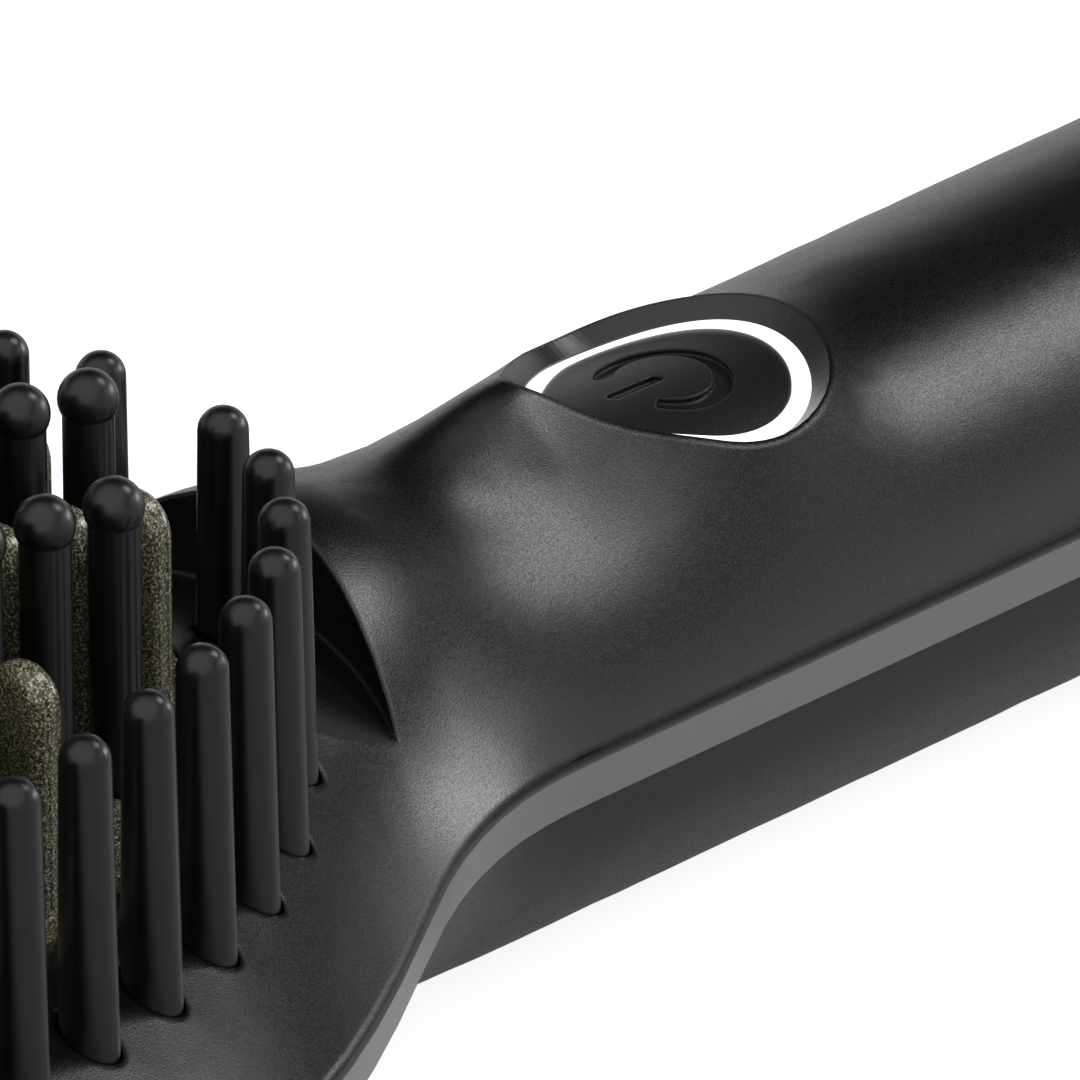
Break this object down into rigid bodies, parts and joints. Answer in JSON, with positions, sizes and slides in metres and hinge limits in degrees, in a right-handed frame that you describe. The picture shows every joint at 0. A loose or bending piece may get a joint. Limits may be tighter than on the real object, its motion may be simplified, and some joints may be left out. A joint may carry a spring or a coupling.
{
  "type": "hair straightening brush",
  "caption": "Heated straightening brush: oval head with a finned plate, ball-tipped pins and cool bristles, round power button and swivel cord entry",
  "frame": {"origin": "middle of the overall length, on the plane that the back rests on", "axes": "+X towards the cord entry at the handle's end, +Z the way the bristles point, +Y across, to make a right-handed set"},
  "size_m": [0.285, 0.069, 0.0434],
  "materials": {
    "soft_touch_black": "soft-touch lacquer on moulded plastic, matte",
    "trim_grey": "smooth moulded plastic, satin gloss",
    "speckled_coating": "ceramic coating with fine light flecks over cast aluminium",
    "bristle_black": "moulded heat-resistant nylon, slight sheen",
    "button_black": "moulded plastic, fine texture",
    "bezel_dark": "smooth moulded plastic",
    "light_white": "translucent white moulding",
    "heater_ceramic": "fired ceramic",
    "mica": "pressed mica sheet",
    "zinc_steel": "zinc-plated steel",
    "board_green": "glass-fibre board with solder mask",
    "component_dark": "moulded component cases",
    "lead_red": "silicone-sheathed wire",
    "contact_brass": "turned brass"
  },
  "bodies": {
    "base": {"front_housing": "soft_touch_black", "rear_housing": "soft_touch_black", "side_trim": "trim_grey", "heater_plate": "speckled_coating", "outer_bristle_frame": "bristle_black", "ball_pin_carrier": "bristle_black", "ceramic_heaters": "heater_ceramic", "mica_sheet": "mica", "heater_clamp": "zinc_steel", "clamp_screws": "zinc_steel", "thermal_fuse": "zinc_steel", "thermistor": "component_dark", "circuit_board": "board_green", "power_components": "component_dark", "status_leds": "light_white", "tactile_switch": "component_dark", "light_guide": "light_white", "button_bezel": "bezel_dark", "board_screws": "zinc_steel", "housing_screws": "zinc_steel", "heater_leads": "lead_red", "supply_leads": "lead_red", "end_collar": "bezel_dark", "swivel_contacts": "contact_brass"},
    "power_button": {"power_button": "button_black", "switch_plunger": "button_black"},
    "swivel_gland": {"swivel_gland": "soft_touch_black", "swivel_retainer": "zinc_steel"}
  },
  "joints": [
    {"name": "button_press", "type": "slide", "parent": "base", "child": "power_button", "axis": [0, 0, -1], "range_m": [0, 0.0007], "stiffness_N_per_m": 2000},
    {"name": "gland_swivel", "type": "hinge", "parent": "base", "child": "swivel_gland", "pos_m": [0.1325, 0, 0.0123], "axis": [1, 0, 0], "continuous": true}
  ]
}
